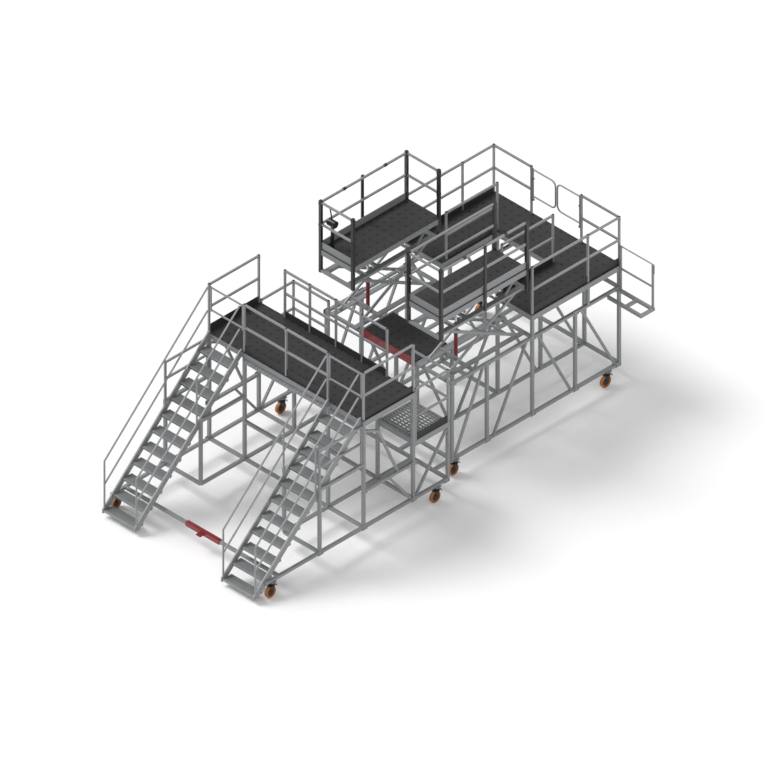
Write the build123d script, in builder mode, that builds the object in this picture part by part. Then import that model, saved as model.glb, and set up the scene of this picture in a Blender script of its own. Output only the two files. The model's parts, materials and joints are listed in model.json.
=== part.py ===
"""Aircraft maintenance platform: a front dock with two stairs, a rear U-shaped dock and two lifting side decks.

X runs across the platform, Y from the foot of the stairs to the rear, Z up from the floor.
X is zero on the centre plane and Y is zero at the front edge of the front deck.
Lengths are millimetres.
"""
import os
from math import atan2, degrees, hypot

from build123d import *

# Square tubes and rails
TUBE = 60.0
RAIL = 38.0
RAIL_HEIGHT = 1100.0
MID_RAIL_HEIGHT = 560.0
TOE_HEIGHT = 150.0
TOE_THICKNESS = 12.0
BRACE = 46.0

# Front module
FRONT_HALF_WIDTH = 2100.0
FRONT_FOOT_Y = -2600.0
FRONT_REAR_Y = 2320.0
FRONT_DECK_DEPTH = 1390.0
FRONT_DECK_Z = 2860.0
INNER_POST_X = 1120.0
CHORD_Z = 370.0
STAIR_POST_Y = -1150.0
MID_RAIL_Z = 1200.0
STAIR_LANDING_Z = 1830.0
LANDING_Z = 1700.0

# Decks
DECK_BEAM = 120.0
DECK_SHEET = 20.0

# Stairs
TREADS = 11
TREAD_GOING = 255.0
TREAD_DEPTH = 245.0
TREAD_THICKNESS = 40.0
FIRST_TREAD_Y = -2870.0
FIRST_TREAD_Z = 170.0
STRINGER = 30.0
STRINGER_BELOW = 150.0
STRINGER_ABOVE = 30.0
STRINGER_FOOT_Z = 100.0
STAIR_RAIL_RISE = 1080.0
STAIR_FOOT = 10.0
HANDRAIL_POST = 27.0

# Rear module
REAR_HALF_WIDTH = 1710.0
REAR_FRONT_Y = 2760.0
REAR_BACK_Y = 7310.0
INNER_FRAME_X = 750.0
TOP_CHORD_Z = 2130.0
REAR_DECK_Z = 2670.0
REAR_DECK_FRONT_Y = 4920.0
CROSS_WALK_Y = 6440.0
MID_DECK_BACK_Y = 3620.0
OUTRIGGER_X = 2620.0
OUTRIGGER_WIDTH = 350.0
OUTRIGGER_Z = 2070.0
GATE_POST_X = 670.0
HOOK_RADIUS = 15.0
HOOK_REACH = 0.0
HOOK_DROP = 200.0

# Lifting side decks
WING_CENTRE_X = 1181.0
WING_HALF_WIDTH = 433.0
WING_FRONT_Y = 2567.0
WING_BACK_Y = 4870.0
WING_DECK_Z = 3750.0
WING_BEAM_Z = 3246.0
WING_EDGE = 40.0

# Scissor lifts
PIVOT_Y = 4700.0
PIVOT_Z = 2230.0
LEG_RUN = 1750.0
LEG_RISE = 950.0
LEG_WIDTH = 30.0
LEG_DEPTH = 60.0
OUTER_LEG_X = 330.0
INNER_LEG_X = 285.0
PIN_RADIUS = 12.0
PIN_CLEARANCE = 1.0
SIDE_CLEARANCE = 1.0
ROLLER_WIDTH = 8.0
TRACK_WIDTH = 110.0
TRACK_THICKNESS = 30.0

# Lift cylinders
CYLINDER_Y = 3400.0
BARREL_RADIUS = 38.0
BORE_RADIUS = 27.0
ROD_RADIUS = 25.0
BARREL_TOP_Z = 2770.0
BARREL_FLOOR = 35.0
ROD_FOOT_Z = 2652.0

# Casters
WHEEL_RADIUS = 125.0
WHEEL_WIDTH = 70.0
CASTER_TRAIL = 55.0
AXLE_RADIUS = 10.0
AXLE_CLEARANCE = 0.5
FORK_PLATE = 8.0
FORK_GAP = 6.0
CASTER_PLATE = 12.0
CASTER_PLATE_HALF = 64.0

# Gates and sliding extensions
GATE_RADIUS = 17.0
GATE_CORNER = 110.0
GATE_LUG = 12.0
SLIDE_GAP = 0.3
GUIDE_WALL = 25.0
GUIDE_LIP = 8.0
SLAT_THICKNESS = 42.0
SLAT_PITCH = 90.0
SLAT_GROOVE = 12.0
SLAT_GROOVE_DEPTH = 8.0

# Derived sizes
side_x = FRONT_HALF_WIDTH - TUBE / 2
rear_side_x = REAR_HALF_WIDTH - TUBE / 2
deck_under_z = FRONT_DECK_Z - DECK_SHEET - DECK_BEAM
rear_under_z = REAR_DECK_Z - DECK_SHEET - DECK_BEAM
post_foot_z = CHORD_Z + TUBE / 2
front_line_y = TUBE / 2
back_line_y = FRONT_DECK_DEPTH - TUBE / 2
landing_line_y = FRONT_REAR_Y - TUBE / 2
tread_rise = (FRONT_DECK_Z - FIRST_TREAD_Z) / TREADS
leg_length = hypot(LEG_RUN, LEG_RISE)
wing_under_z = WING_DECK_Z - DECK_SHEET - DECK_BEAM
SIDES = ((-1, "left"), (1, "right"))
fork_half = WHEEL_WIDTH / 2 + FORK_GAP
crown_half = fork_half + FORK_PLATE
stair_foot_y = FIRST_TREAD_Y - STAIR_FOOT
hook_x = OUTRIGGER_X + HOOK_REACH

# The frame's origin is on the floor, under the middle of the whole outline
origin_x = (hook_x + HOOK_RADIUS - side_x - crown_half) / 2
origin_y = (stair_foot_y + REAR_BACK_Y) / 2

os.makedirs("parts", exist_ok=True)


def bar(start, end, width, depth=None):
    """One straight bar of rectangular section between two points, as a loose solid.

    The depth lies in the vertical plane of the bar, the width across it.
    """
    first, last = Vector(*start), Vector(*end)
    along = last - first
    across = Vector(0, 0, 1).cross(along)
    across = Vector(1, 0, 0) if across.length < 1e-6 else across.normalized()
    with BuildSketch(Plane(origin=first, x_dir=across, z_dir=along)) as section:
        Rectangle(width, depth or width)
    return extrude(section.sketch, amount=along.length, mode=Mode.PRIVATE)


def box(low, high):
    """One block between two corners, as a loose solid."""
    size = [b - a for a, b in zip(low, high)]
    centre = [(a + b) / 2 for a, b in zip(low, high)]
    return Pos(*centre) * Box(*size, mode=Mode.PRIVATE)


def round_bar(points, radius, bend=0.0):
    """A round tube along straight runs, with a bend of one radius at each corner, as a loose solid."""
    with BuildLine(mode=Mode.PRIVATE) as path:
        if bend and len(points) > 2:
            FilletPolyline(*points, radius=bend)
        else:
            Polyline(*points)
    start = path.line @ 0
    with BuildSketch(Plane(origin=start, z_dir=path.line % 0), mode=Mode.PRIVATE) as section:
        Circle(radius)
    return sweep(section.sketch, path=path.line, mode=Mode.PRIVATE)


def pin(start_x, y, z, radius, length):
    """A round pin that runs along X from start_x, as a loose solid."""
    with BuildSketch(Plane.YZ.offset(start_x)) as section:
        with Locations((y, z)):
            Circle(radius)
    return extrude(section.sketch, amount=length, mode=Mode.PRIVATE)


def both_sides(solids):
    """The solids of the right side and their mirror images on the left."""
    return list(solids) + [mirror(solid, about=Plane.YZ, mode=Mode.PRIVATE) for solid in solids]


def finish(piece, name):
    """Labels a finished piece, sets it in the frame of the whole platform and writes its file."""
    placed = piece.part.moved(Location((-origin_x, -origin_y, 0)))
    placed.label = name
    export_step(placed, f"parts/{name}.step")


def together(name, *pieces):
    """Puts several pieces of one body into one node and writes its file."""
    with BuildPart() as node:
        add([piece.part for piece in pieces])
    finish(node, name)


def guard(posts, runs, floor_z, top=RAIL_HEIGHT, middle=MID_RAIL_HEIGHT):
    """Square posts with a top rail and a middle rail between neighbouring posts.

    posts is a list of (x, y); runs is a list of pairs of indexes into it.
    """
    top_z, mid_z = floor_z + top - RAIL / 2, floor_z + middle
    solids = [bar((x, y, floor_z), (x, y, floor_z + top), RAIL) for x, y in posts]
    for a, b in runs:
        (ax, ay), (bx, by) = posts[a], posts[b]
        for z in (top_z, mid_z):
            solids.append(bar((ax, ay, z), (bx, by, z), RAIL))
    return solids


# Front frame: side trusses, cross beams and the plates over the casters
with BuildPart() as front_frame:
    right = [
        bar((side_x, FRONT_FOOT_Y, CHORD_Z), (side_x, FRONT_REAR_Y, CHORD_Z), TUBE),
        bar((side_x, front_line_y, MID_RAIL_Z), (side_x, back_line_y, MID_RAIL_Z), TUBE),
        bar((side_x, STAIR_POST_Y - TUBE / 2, STAIR_LANDING_Z), (side_x, 0, STAIR_LANDING_Z), TUBE),
        bar((INNER_POST_X, STAIR_POST_Y, CHORD_Z), (INNER_POST_X, landing_line_y, CHORD_Z), TUBE),
        bar((INNER_POST_X, STAIR_POST_Y, STAIR_LANDING_Z), (INNER_POST_X, 0, STAIR_LANDING_Z), TUBE),
        bar((INNER_POST_X, STAIR_POST_Y, CHORD_Z), (side_x, STAIR_POST_Y, CHORD_Z), TUBE),
    ]
    # Posts: x, y, top
    for x, y, top in (
        (side_x, STAIR_POST_Y, STAIR_LANDING_Z),
        (side_x, front_line_y, deck_under_z),
        (side_x, back_line_y, deck_under_z),
        (side_x, landing_line_y, LANDING_Z - DECK_BEAM),
        (INNER_POST_X, STAIR_POST_Y, STAIR_LANDING_Z + TUBE / 2),
        (INNER_POST_X, front_line_y, deck_under_z),
        (INNER_POST_X, back_line_y, deck_under_z),
        (INNER_POST_X, landing_line_y, LANDING_Z - DECK_BEAM),
    ):
        right.append(bar((x, y, CHORD_Z), (x, y, top), TUBE))
    # Side diagonals: lower y, lower z, upper y, upper z
    for y0, z0, y1, z1 in (
        (950, MID_RAIL_Z, 420, deck_under_z - 300),
        (back_line_y + 60, post_foot_z, landing_line_y - 40, LANDING_Z - 160),
        (back_line_y - 60, post_foot_z, front_line_y + 700, MID_RAIL_Z - 40),
    ):
        right.append(bar((side_x, y0, z0), (side_x, y1, z1), BRACE))
    right.append(
        bar((side_x, 420, deck_under_z - 300), (side_x, front_line_y, deck_under_z - 120), BRACE)
    )
    add(both_sides(right))
    # Cross beams over the whole width: y, z
    for y, z in (
        (front_line_y, CHORD_Z),
        (back_line_y, CHORD_Z),
        (landing_line_y, CHORD_Z),
        (front_line_y, MID_RAIL_Z + 40),
    ):
        reach = side_x if z == CHORD_Z else INNER_POST_X
        add(bar((-reach, y, z), (reach, y, z), TUBE))

# Front deck: beams round the edge with joists, then the dark sheet that they carry
with BuildPart() as front_deck_frame:
    with BuildSketch(Plane.XY.offset(deck_under_z)):
        with Locations((0, FRONT_DECK_DEPTH / 2)):
            Rectangle(2 * FRONT_HALF_WIDTH, FRONT_DECK_DEPTH)
            Rectangle(2 * FRONT_HALF_WIDTH - 2 * TUBE, FRONT_DECK_DEPTH - 2 * TUBE, mode=Mode.SUBTRACT)
            with GridLocations(700, 0, 5, 1):
                Rectangle(TUBE, FRONT_DECK_DEPTH - TUBE)
    extrude(amount=DECK_BEAM)

with BuildPart() as front_deck_sheet:
    with BuildSketch(Plane.XY.offset(FRONT_DECK_Z - DECK_SHEET)):
        with Locations((0, FRONT_DECK_DEPTH / 2)):
            Rectangle(2 * FRONT_HALF_WIDTH, FRONT_DECK_DEPTH)
    extrude(amount=DECK_SHEET)

# Front guard: posts stand on the deck, x and y of each, then the runs between them
guard_inset = RAIL / 2 + 8
edge_x = FRONT_HALF_WIDTH - guard_inset
edge_back = FRONT_DECK_DEPTH - guard_inset
with BuildPart() as front_guard:
    posts = [(edge_x, guard_inset), (edge_x, edge_back), (-edge_x, guard_inset), (-edge_x, edge_back)]
    add(guard(posts, [(0, 1), (2, 3)], FRONT_DECK_Z))
    front_posts = [(x, guard_inset) for x in (-INNER_POST_X, 0, INNER_POST_X)]
    add(guard(front_posts, [(0, 1), (1, 2)], FRONT_DECK_Z))
    back_posts = [(x, edge_back) for x in (-1370, -700, 0, 700, 1370)]
    add(guard(back_posts, [(0, 1), (1, 2), (2, 3), (3, 4)], FRONT_DECK_Z))

# Toe boards of the front deck, between the guard posts
toe_gap = RAIL / 2
with BuildPart() as front_toe_boards:
    for side, _ in SIDES:
        add(
            box(
                (side * edge_x - TOE_THICKNESS / 2, guard_inset + toe_gap, FRONT_DECK_Z),
                (side * edge_x + TOE_THICKNESS / 2, edge_back - toe_gap, FRONT_DECK_Z + TOE_HEIGHT),
            )
        )
    for y, x_values in ((guard_inset, (-INNER_POST_X, 0, INNER_POST_X)), (edge_back, (-1370, -700, 0, 700, 1370))):
        for x0, x1 in zip(x_values, x_values[1:]):
            add(
                box(
                    (x0 + toe_gap, y - TOE_THICKNESS / 2, FRONT_DECK_Z),
                    (x1 - toe_gap, y + TOE_THICKNESS / 2, FRONT_DECK_Z + TOE_HEIGHT),
                )
            )

# Stairs: two stringers, eleven treads and a handrail on each side
stair_low_x = INNER_POST_X + TUBE / 2
stair_high_x = side_x - TUBE / 2


def nosing_z(y):
    """Height of the line through the front edges of the treads."""
    return FIRST_TREAD_Z + (y - FIRST_TREAD_Y) / TREAD_GOING * tread_rise


def nosing_y(z):
    """The same line the other way round."""
    return FIRST_TREAD_Y + (z - FIRST_TREAD_Z) / tread_rise * TREAD_GOING


stair_pieces = {"stair_stringers": [], "stair_treads": [], "stair_handrails": []}
for side, _ in SIDES:
    with BuildPart() as stringers:
        for x in (stair_low_x, stair_high_x - STRINGER):
            start = x if side > 0 else -x - STRINGER
            with BuildSketch(Plane.YZ.offset(start)) as outline:
                with BuildLine():
                    Polyline(
                        (stair_foot_y, STRINGER_FOOT_Z),
                        (nosing_y(STRINGER_FOOT_Z + STRINGER_BELOW), STRINGER_FOOT_Z),
                        (0, nosing_z(0) - STRINGER_BELOW),
                        (0, nosing_z(0) + STRINGER_ABOVE - 40),
                        (-40, nosing_z(-40) + STRINGER_ABOVE),
                        (stair_foot_y, nosing_z(stair_foot_y) + STRINGER_ABOVE),
                        close=True,
                    )
                make_face()
            extrude(amount=STRINGER)
    stair_pieces["stair_stringers"].append(stringers)

    with BuildPart() as treads:
        for i in range(TREADS):
            y, z = FIRST_TREAD_Y + i * TREAD_GOING, FIRST_TREAD_Z + i * tread_rise
            x0, x1 = sorted((side * (stair_low_x + STRINGER), side * (stair_high_x - STRINGER)))
            add(box((x0, y, z - TREAD_THICKNESS), (x1, y + TREAD_DEPTH, z)))
    stair_pieces["stair_treads"].append(treads)

    with BuildPart() as handrails:
        for x in (stair_low_x + STRINGER / 2, stair_high_x - STRINGER / 2):
            # Posts are cut to the slope of the stringer that they stand on
            with BuildSketch(Plane.YZ.offset(side * x - HANDRAIL_POST / 2)) as post_outlines:
                for y in (FIRST_TREAD_Y + 40, STAIR_POST_Y - 60):
                    y0, y1 = y - HANDRAIL_POST / 2, y + HANDRAIL_POST / 2
                    with BuildLine():
                        Polyline(
                            (y0, nosing_z(y0) + STRINGER_ABOVE),
                            (y1, nosing_z(y1) + STRINGER_ABOVE),
                            (y1, nosing_z(y) + STAIR_RAIL_RISE),
                            (y0, nosing_z(y) + STAIR_RAIL_RISE),
                            close=True,
                        )
                    make_face()
            extrude(amount=HANDRAIL_POST)
            low_y, high_y = FIRST_TREAD_Y + 40, -60
            for rise in (STAIR_RAIL_RISE, STAIR_RAIL_RISE / 2):
                add(
                    round_bar(
                        [(side * x, low_y, nosing_z(low_y) + rise), (side * x, high_y, nosing_z(high_y) + rise)],
                        RAIL / 2,
                    )
                )
    stair_pieces["stair_handrails"].append(handrails)

for name, pieces in stair_pieces.items():
    together(name, *pieces)

# Side landings of the front module: a grating in a frame, with its guard
GRATING_BARS_X, GRATING_BARS_Y, GRATING_DEPTH = 9, 12, 30.0
with BuildPart() as landing_frames:
    for side, _ in SIDES:
        centre_x = side * (INNER_POST_X + side_x) / 2
        size_x, size_y = side_x - INNER_POST_X + TUBE, FRONT_REAR_Y - FRONT_DECK_DEPTH - 1
        with BuildSketch(Plane.XY.offset(LANDING_Z - DECK_BEAM)):
            with Locations((centre_x, FRONT_REAR_Y - size_y / 2)):
                Rectangle(size_x, size_y)
                Rectangle(size_x - TUBE, size_y - TUBE, mode=Mode.SUBTRACT)
        extrude(amount=DECK_BEAM - GRATING_DEPTH)

with BuildPart() as landing_gratings:
    for side, _ in SIDES:
        with BuildSketch(Plane.XY.offset(LANDING_Z - GRATING_DEPTH)):
            with Locations((centre_x * side, FRONT_REAR_Y - size_y / 2)):
                Rectangle(size_x, size_y)
                cell_x, cell_y = (size_x - 40) / GRATING_BARS_X, (size_y - 40) / GRATING_BARS_Y
                with GridLocations(cell_x, cell_y, GRATING_BARS_X, GRATING_BARS_Y):
                    Rectangle(cell_x - 16, cell_y - 22, mode=Mode.SUBTRACT)
        extrude(amount=GRATING_DEPTH)
finish(landing_gratings, "landing_gratings")

with BuildPart() as landing_guard:
    for side, _ in SIDES:
        outer, inner = side * edge_x, side * (INNER_POST_X + 10)
        near, far = FRONT_DECK_DEPTH + guard_inset + 2, FRONT_REAR_Y - guard_inset
        add(guard([(outer, near), (outer, far), (inner, far)], [(0, 1), (1, 2)], LANDING_Z, 1200))

with BuildPart() as landing_toe_boards:
    for side, _ in SIDES:
        outer = side * edge_x
        y0, y1 = FRONT_DECK_DEPTH + guard_inset + 2 + toe_gap, FRONT_REAR_Y - guard_inset - toe_gap
        add(
            box(
                (outer - TOE_THICKNESS / 2, y0, LANDING_Z),
                (outer + TOE_THICKNESS / 2, y1, LANDING_Z + TOE_HEIGHT),
            )
        )

# Low rails beside the stairs, at the height of the side frames
with BuildPart() as stair_side_rails:
    for side, _ in SIDES:
        add(
            guard(
                [(side * side_x, STAIR_POST_Y), (side * side_x, -guard_inset)],
                [(0, 1)],
                STAIR_LANDING_Z + TUBE / 2,
                880,
                480,
            )
        )

# Front cross tube with its red tow beam between the two halves
TOW_Y, TOW_LEFT_X, TOW_RIGHT_X, TOW_BEAM, TOW_HOLE_RADIUS = -2240.0, -400.0, 500.0, 90.0, 14.0
with BuildPart() as front_cross_tubes:
    inner_face = side_x - TUBE / 2
    add(bar((-inner_face, TOW_Y, CHORD_Z), (TOW_LEFT_X, TOW_Y, CHORD_Z), TUBE))
    add(bar((TOW_RIGHT_X, TOW_Y, CHORD_Z), (inner_face, TOW_Y, CHORD_Z), TUBE))

with BuildPart() as tow_beam:
    add(bar((TOW_LEFT_X, TOW_Y, CHORD_Z), (TOW_RIGHT_X, TOW_Y, CHORD_Z), TOW_BEAM))
    tow_x = (TOW_LEFT_X + TOW_RIGHT_X) / 2
    add(
        box(
            (tow_x - 60, TOW_Y - TOW_BEAM / 2 - 110, CHORD_Z - 12),
            (tow_x + 60, TOW_Y - TOW_BEAM / 2, CHORD_Z + 12),
        )
    )
    with Locations((tow_x, TOW_Y - TOW_BEAM / 2 - 60, CHORD_Z)):
        Cylinder(TOW_HOLE_RADIUS, 60, mode=Mode.SUBTRACT)
finish(tow_beam, "tow_beam")

# Rear frame: outer and inner trusses joined by cross beams
with BuildPart() as rear_frame:
    right = []
    end_y = REAR_BACK_Y - TUBE / 2
    start_y = REAR_FRONT_Y + TUBE / 2
    deck_line_y = REAR_DECK_FRONT_Y + TUBE / 2
    for x in (rear_side_x, INNER_FRAME_X):
        right.append(bar((x, FRONT_REAR_Y, CHORD_Z), (x, REAR_BACK_Y, CHORD_Z), TUBE))
        right.append(bar((x, REAR_FRONT_Y, TOP_CHORD_Z), (x, REAR_BACK_Y, TOP_CHORD_Z), TUBE))
        for y in (start_y, 3730, deck_line_y, 6100, end_y):
            right.append(bar((x, y, CHORD_Z), (x, y, TOP_CHORD_Z), TUBE))
        for y in (deck_line_y, CROSS_WALK_Y, end_y):
            right.append(bar((x, y, TOP_CHORD_Z), (x, y, rear_under_z), TUBE))
    # Truss diagonals: x, lower y, upper y
    for x, low_y, high_y in (
        (rear_side_x, start_y + 60, 3640),
        (rear_side_x, 3900, 4800),
        (rear_side_x, 5990, 5080),
        (rear_side_x, 7180, 6250),
        (INNER_FRAME_X, 3640, 2900),
        (INNER_FRAME_X, 3830, 4830),
        (INNER_FRAME_X, 5990, 5080),
        (INNER_FRAME_X, 7180, 6250),
    ):
        right.append(bar((x, low_y, CHORD_Z), (x, high_y, TOP_CHORD_Z), BRACE))
    for y in (start_y, CYLINDER_Y, deck_line_y, end_y):
        right.append(bar((INNER_FRAME_X, y, TOP_CHORD_Z), (rear_side_x, y, TOP_CHORD_Z), TUBE))
    for y in (start_y, end_y):
        right.append(bar((INNER_FRAME_X, y, CHORD_Z), (rear_side_x, y, CHORD_Z), TUBE))
    for solid in right:
        add(solid)
    mirror(about=Plane.YZ)
    for y, z in ((start_y, CHORD_Z), (deck_line_y, CHORD_Z), (end_y, CHORD_Z), (end_y, TOP_CHORD_Z)):
        add(bar((-INNER_FRAME_X, y, z), (INNER_FRAME_X, y, z), TUBE))

# Rear deck, a U round the fuselage: beams first, then the sheet
U_OUTER = [
    (-REAR_HALF_WIDTH, REAR_DECK_FRONT_Y),
    (-INNER_FRAME_X + TUBE / 2, REAR_DECK_FRONT_Y),
    (-INNER_FRAME_X + TUBE / 2, CROSS_WALK_Y - TUBE / 2),
    (INNER_FRAME_X - TUBE / 2, CROSS_WALK_Y - TUBE / 2),
    (INNER_FRAME_X - TUBE / 2, REAR_DECK_FRONT_Y),
    (REAR_HALF_WIDTH, REAR_DECK_FRONT_Y),
    (REAR_HALF_WIDTH, REAR_BACK_Y),
    (-REAR_HALF_WIDTH, REAR_BACK_Y),
]
with BuildPart() as rear_deck_frame:
    with BuildSketch(Plane.XY.offset(rear_under_z)):
        with BuildLine():
            Polyline(*U_OUTER, close=True)
        make_face()
        offset(amount=-TUBE, kind=Kind.INTERSECTION, mode=Mode.SUBTRACT)
        with Locations(*[(s * (rear_side_x + INNER_FRAME_X) / 2, y) for s in (-1, 1) for y in (5450, 5950, 6500)]):
            Rectangle(rear_side_x - INNER_FRAME_X, TUBE)
        with Locations((0, (CROSS_WALK_Y + REAR_BACK_Y) / 2)):
            Rectangle(TUBE, REAR_BACK_Y - CROSS_WALK_Y)
    extrude(amount=DECK_BEAM)

with BuildPart() as rear_deck_sheet:
    with BuildSketch(Plane.XY.offset(REAR_DECK_Z - DECK_SHEET)):
        with BuildLine():
            Polyline(*U_OUTER, close=True)
        make_face()
    extrude(amount=DECK_SHEET)

# Rear guard: outer rails, inner rails and the short rear rails beside the gates
rear_edge_x = REAR_HALF_WIDTH - guard_inset
inner_edge_x = INNER_FRAME_X - TUBE / 2 + guard_inset
rear_edge_y = REAR_BACK_Y - guard_inset
first_post_y = REAR_DECK_FRONT_Y + guard_inset
with BuildPart() as rear_guard:
    for side, _ in SIDES:
        outer, inner, gate = side * rear_edge_x, side * inner_edge_x, side * GATE_POST_X
        posts = [(outer, first_post_y), (outer, CROSS_WALK_Y), (outer, rear_edge_y), (gate, rear_edge_y)]
        add(guard(posts, [(0, 1), (1, 2), (2, 3)], REAR_DECK_Z))
        add(guard([(inner, first_post_y + 120), (inner, CROSS_WALK_Y)], [(0, 1)], REAR_DECK_Z))

with BuildPart() as rear_toe_boards:
    for side, _ in SIDES:
        for x, y0, y1 in (
            (side * rear_edge_x, first_post_y, CROSS_WALK_Y),
            (side * rear_edge_x, CROSS_WALK_Y, rear_edge_y),
            (side * inner_edge_x, first_post_y + 120, CROSS_WALK_Y),
        ):
            add(
                box(
                    (x - TOE_THICKNESS / 2, y0 + toe_gap, REAR_DECK_Z),
                    (x + TOE_THICKNESS / 2, y1 - toe_gap, REAR_DECK_Z + TOE_HEIGHT),
                )
            )

# Middle deck between the modules: a frame with a red front edge and its sheet
mid_half = INNER_FRAME_X - TUBE / 2
mid_top_z = TOP_CHORD_Z + TUBE / 2 + DECK_SHEET
mid_beam_z = TOP_CHORD_Z + TUBE / 2
with BuildPart() as mid_deck_frame:
    with BuildSketch(Plane.XY.offset(TOP_CHORD_Z - TUBE / 2)):
        with Locations((0, (REAR_FRONT_Y + MID_DECK_BACK_Y) / 2)):
            Rectangle(2 * mid_half, MID_DECK_BACK_Y - REAR_FRONT_Y)
            Rectangle(2 * mid_half - TUBE, MID_DECK_BACK_Y - REAR_FRONT_Y - 2 * TUBE, mode=Mode.SUBTRACT)
            Rectangle(TUBE, MID_DECK_BACK_Y - REAR_FRONT_Y)
    extrude(amount=TUBE)

with BuildPart() as mid_deck_sheet:
    add(box((-mid_half, REAR_FRONT_Y, mid_beam_z), (mid_half, MID_DECK_BACK_Y, mid_top_z)))

with BuildPart() as mid_deck_edge:
    add(
        box(
            (-mid_half, REAR_FRONT_Y - TOE_THICKNESS * 2, TOP_CHORD_Z - TUBE),
            (mid_half, REAR_FRONT_Y, mid_top_z + TUBE),
        )
    )
finish(mid_deck_edge, "mid_deck_edge")

# Outrigger walkway at the rear right corner, with a handrail that ends in a hook
with BuildPart() as outrigger:
    back, front = REAR_BACK_Y - TUBE / 2, REAR_BACK_Y - OUTRIGGER_WIDTH
    far = OUTRIGGER_X - TUBE / 2
    for start, end in (
        ((REAR_HALF_WIDTH, back), (OUTRIGGER_X, back)),
        ((REAR_HALF_WIDTH, front), (OUTRIGGER_X, front)),
        ((far, front), (far, back)),
        ((far - 420, front), (far - 420, back)),
    ):
        add(bar((*start, OUTRIGGER_Z), (*end, OUTRIGGER_Z), TUBE))
    top_z = OUTRIGGER_Z + RAIL_HEIGHT - 60
    add(bar((far, back, OUTRIGGER_Z), (far, back, top_z), RAIL))
    add(bar((REAR_HALF_WIDTH, back, top_z - 520), (far, back, top_z - 520), RAIL * 0.8))
    hook = [(REAR_HALF_WIDTH, back, top_z), (hook_x, back, top_z), (hook_x, back, top_z - HOOK_DROP)]
    add(round_bar(hook, HOOK_RADIUS, 25))
    add(bar((REAR_HALF_WIDTH + RAIL / 2, back, OUTRIGGER_Z), (REAR_HALF_WIDTH + RAIL / 2, back, top_z), RAIL))
finish(outrigger, "outrigger")

# Lift bases: tracks with lugs and pins for the scissor legs, and the cylinder barrels
track_low_z = TOP_CHORD_Z + TUBE / 2
track_top_z = track_low_z + TRACK_THICKNESS
lug_x = OUTER_LEG_X + LEG_WIDTH / 2 + SIDE_CLEARANCE
with BuildPart() as lift_bases:
    for side, _ in SIDES:
        for s in (-1, 1):
            x = side * WING_CENTRE_X + s * (OUTER_LEG_X + INNER_LEG_X) / 2
            add(
                box(
                    (x - TRACK_WIDTH / 2, REAR_FRONT_Y - 30, track_low_z),
                    (x + TRACK_WIDTH / 2, REAR_DECK_FRONT_Y - 0.3, track_top_z),
                )
            )
            inner_face = side * WING_CENTRE_X + s * lug_x
            x0, x1 = sorted((inner_face, inner_face + s * 10))
            add(box((x0, PIVOT_Y - 40, track_low_z), (x1, PIVOT_Y + 40, PIVOT_Z + 35)))
            pin_end = side * WING_CENTRE_X + s * (OUTER_LEG_X - LEG_WIDTH / 2 - 3)
            add(pin(min(pin_end, inner_face), PIVOT_Y, PIVOT_Z, PIN_RADIUS, abs(inner_face - pin_end)))
finish(lift_bases, "lift_bases")

with BuildPart() as lift_barrels:
    for side, _ in SIDES:
        with BuildSketch(Plane((side * WING_CENTRE_X, CYLINDER_Y, track_low_z))):
            Circle(BARREL_RADIUS)
        extrude(amount=BARREL_TOP_Z - track_low_z)
        with BuildSketch(Plane((side * WING_CENTRE_X, CYLINDER_Y, track_low_z + BARREL_FLOOR))):
            Circle(BORE_RADIUS)
        extrude(amount=BARREL_TOP_Z - track_low_z - BARREL_FLOOR, mode=Mode.SUBTRACT)
finish(lift_barrels, "lift_barrels")


def leg_solids(centre_x, half_x, rising_back, bore_ends, shaft_reach):
    """A pair of scissor legs with its ties, as loose solids to add and bores to cut.

    rising_back says whether the leg rises towards the rear. bore_ends are the ends, 0 low and 1 high,
    that turn on a pin of another body.
    """
    low_y = PIVOT_Y - LEG_RUN if rising_back else PIVOT_Y
    high_y = PIVOT_Y if rising_back else PIVOT_Y - LEG_RUN
    ends = ((low_y, PIVOT_Z), (high_y, PIVOT_Z + LEG_RISE))
    solids, cuts = [], []
    angle = degrees(atan2(LEG_RISE, high_y - low_y))
    middle = ((low_y + high_y) / 2, PIVOT_Z + LEG_RISE / 2)
    for s in (-1, 1):
        start_x = centre_x + s * half_x - LEG_WIDTH / 2
        with BuildSketch(Plane.YZ.offset(start_x)) as outline:
            with Locations(Location((*middle, 0), (0, 0, angle))):
                SlotCenterToCenter(leg_length, LEG_DEPTH)
        solids.append(extrude(outline.sketch, amount=LEG_WIDTH, mode=Mode.PRIVATE))
        for end in bore_ends:
            cuts.append(pin(start_x, *ends[end], PIN_RADIUS + PIN_CLEARANCE, LEG_WIDTH))
    for share in (0.15, 0.85):
        y = low_y + share * (high_y - low_y)
        z = PIVOT_Z + share * LEG_RISE
        solids.append(bar((centre_x - half_x, y, z), (centre_x + half_x, y, z), BRACE * 0.8))
    free_end = 1 - bore_ends[0]
    y, z = ends[free_end]
    for s in (-1, 1):
        roller_x = centre_x + s * half_x + (LEG_WIDTH / 2 if s > 0 else -LEG_WIDTH / 2 - ROLLER_WIDTH)
        solids.append(pin(roller_x, y, z, LEG_DEPTH / 2, ROLLER_WIDTH))
        if not shaft_reach:
            start_x = centre_x + s * half_x - LEG_WIDTH / 2
            cuts.append(pin(start_x, *middle, PIN_RADIUS + PIN_CLEARANCE, LEG_WIDTH))
    if shaft_reach:
        solids.append(pin(centre_x - shaft_reach, *middle, PIN_RADIUS, 2 * shaft_reach))
    return solids, cuts


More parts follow.
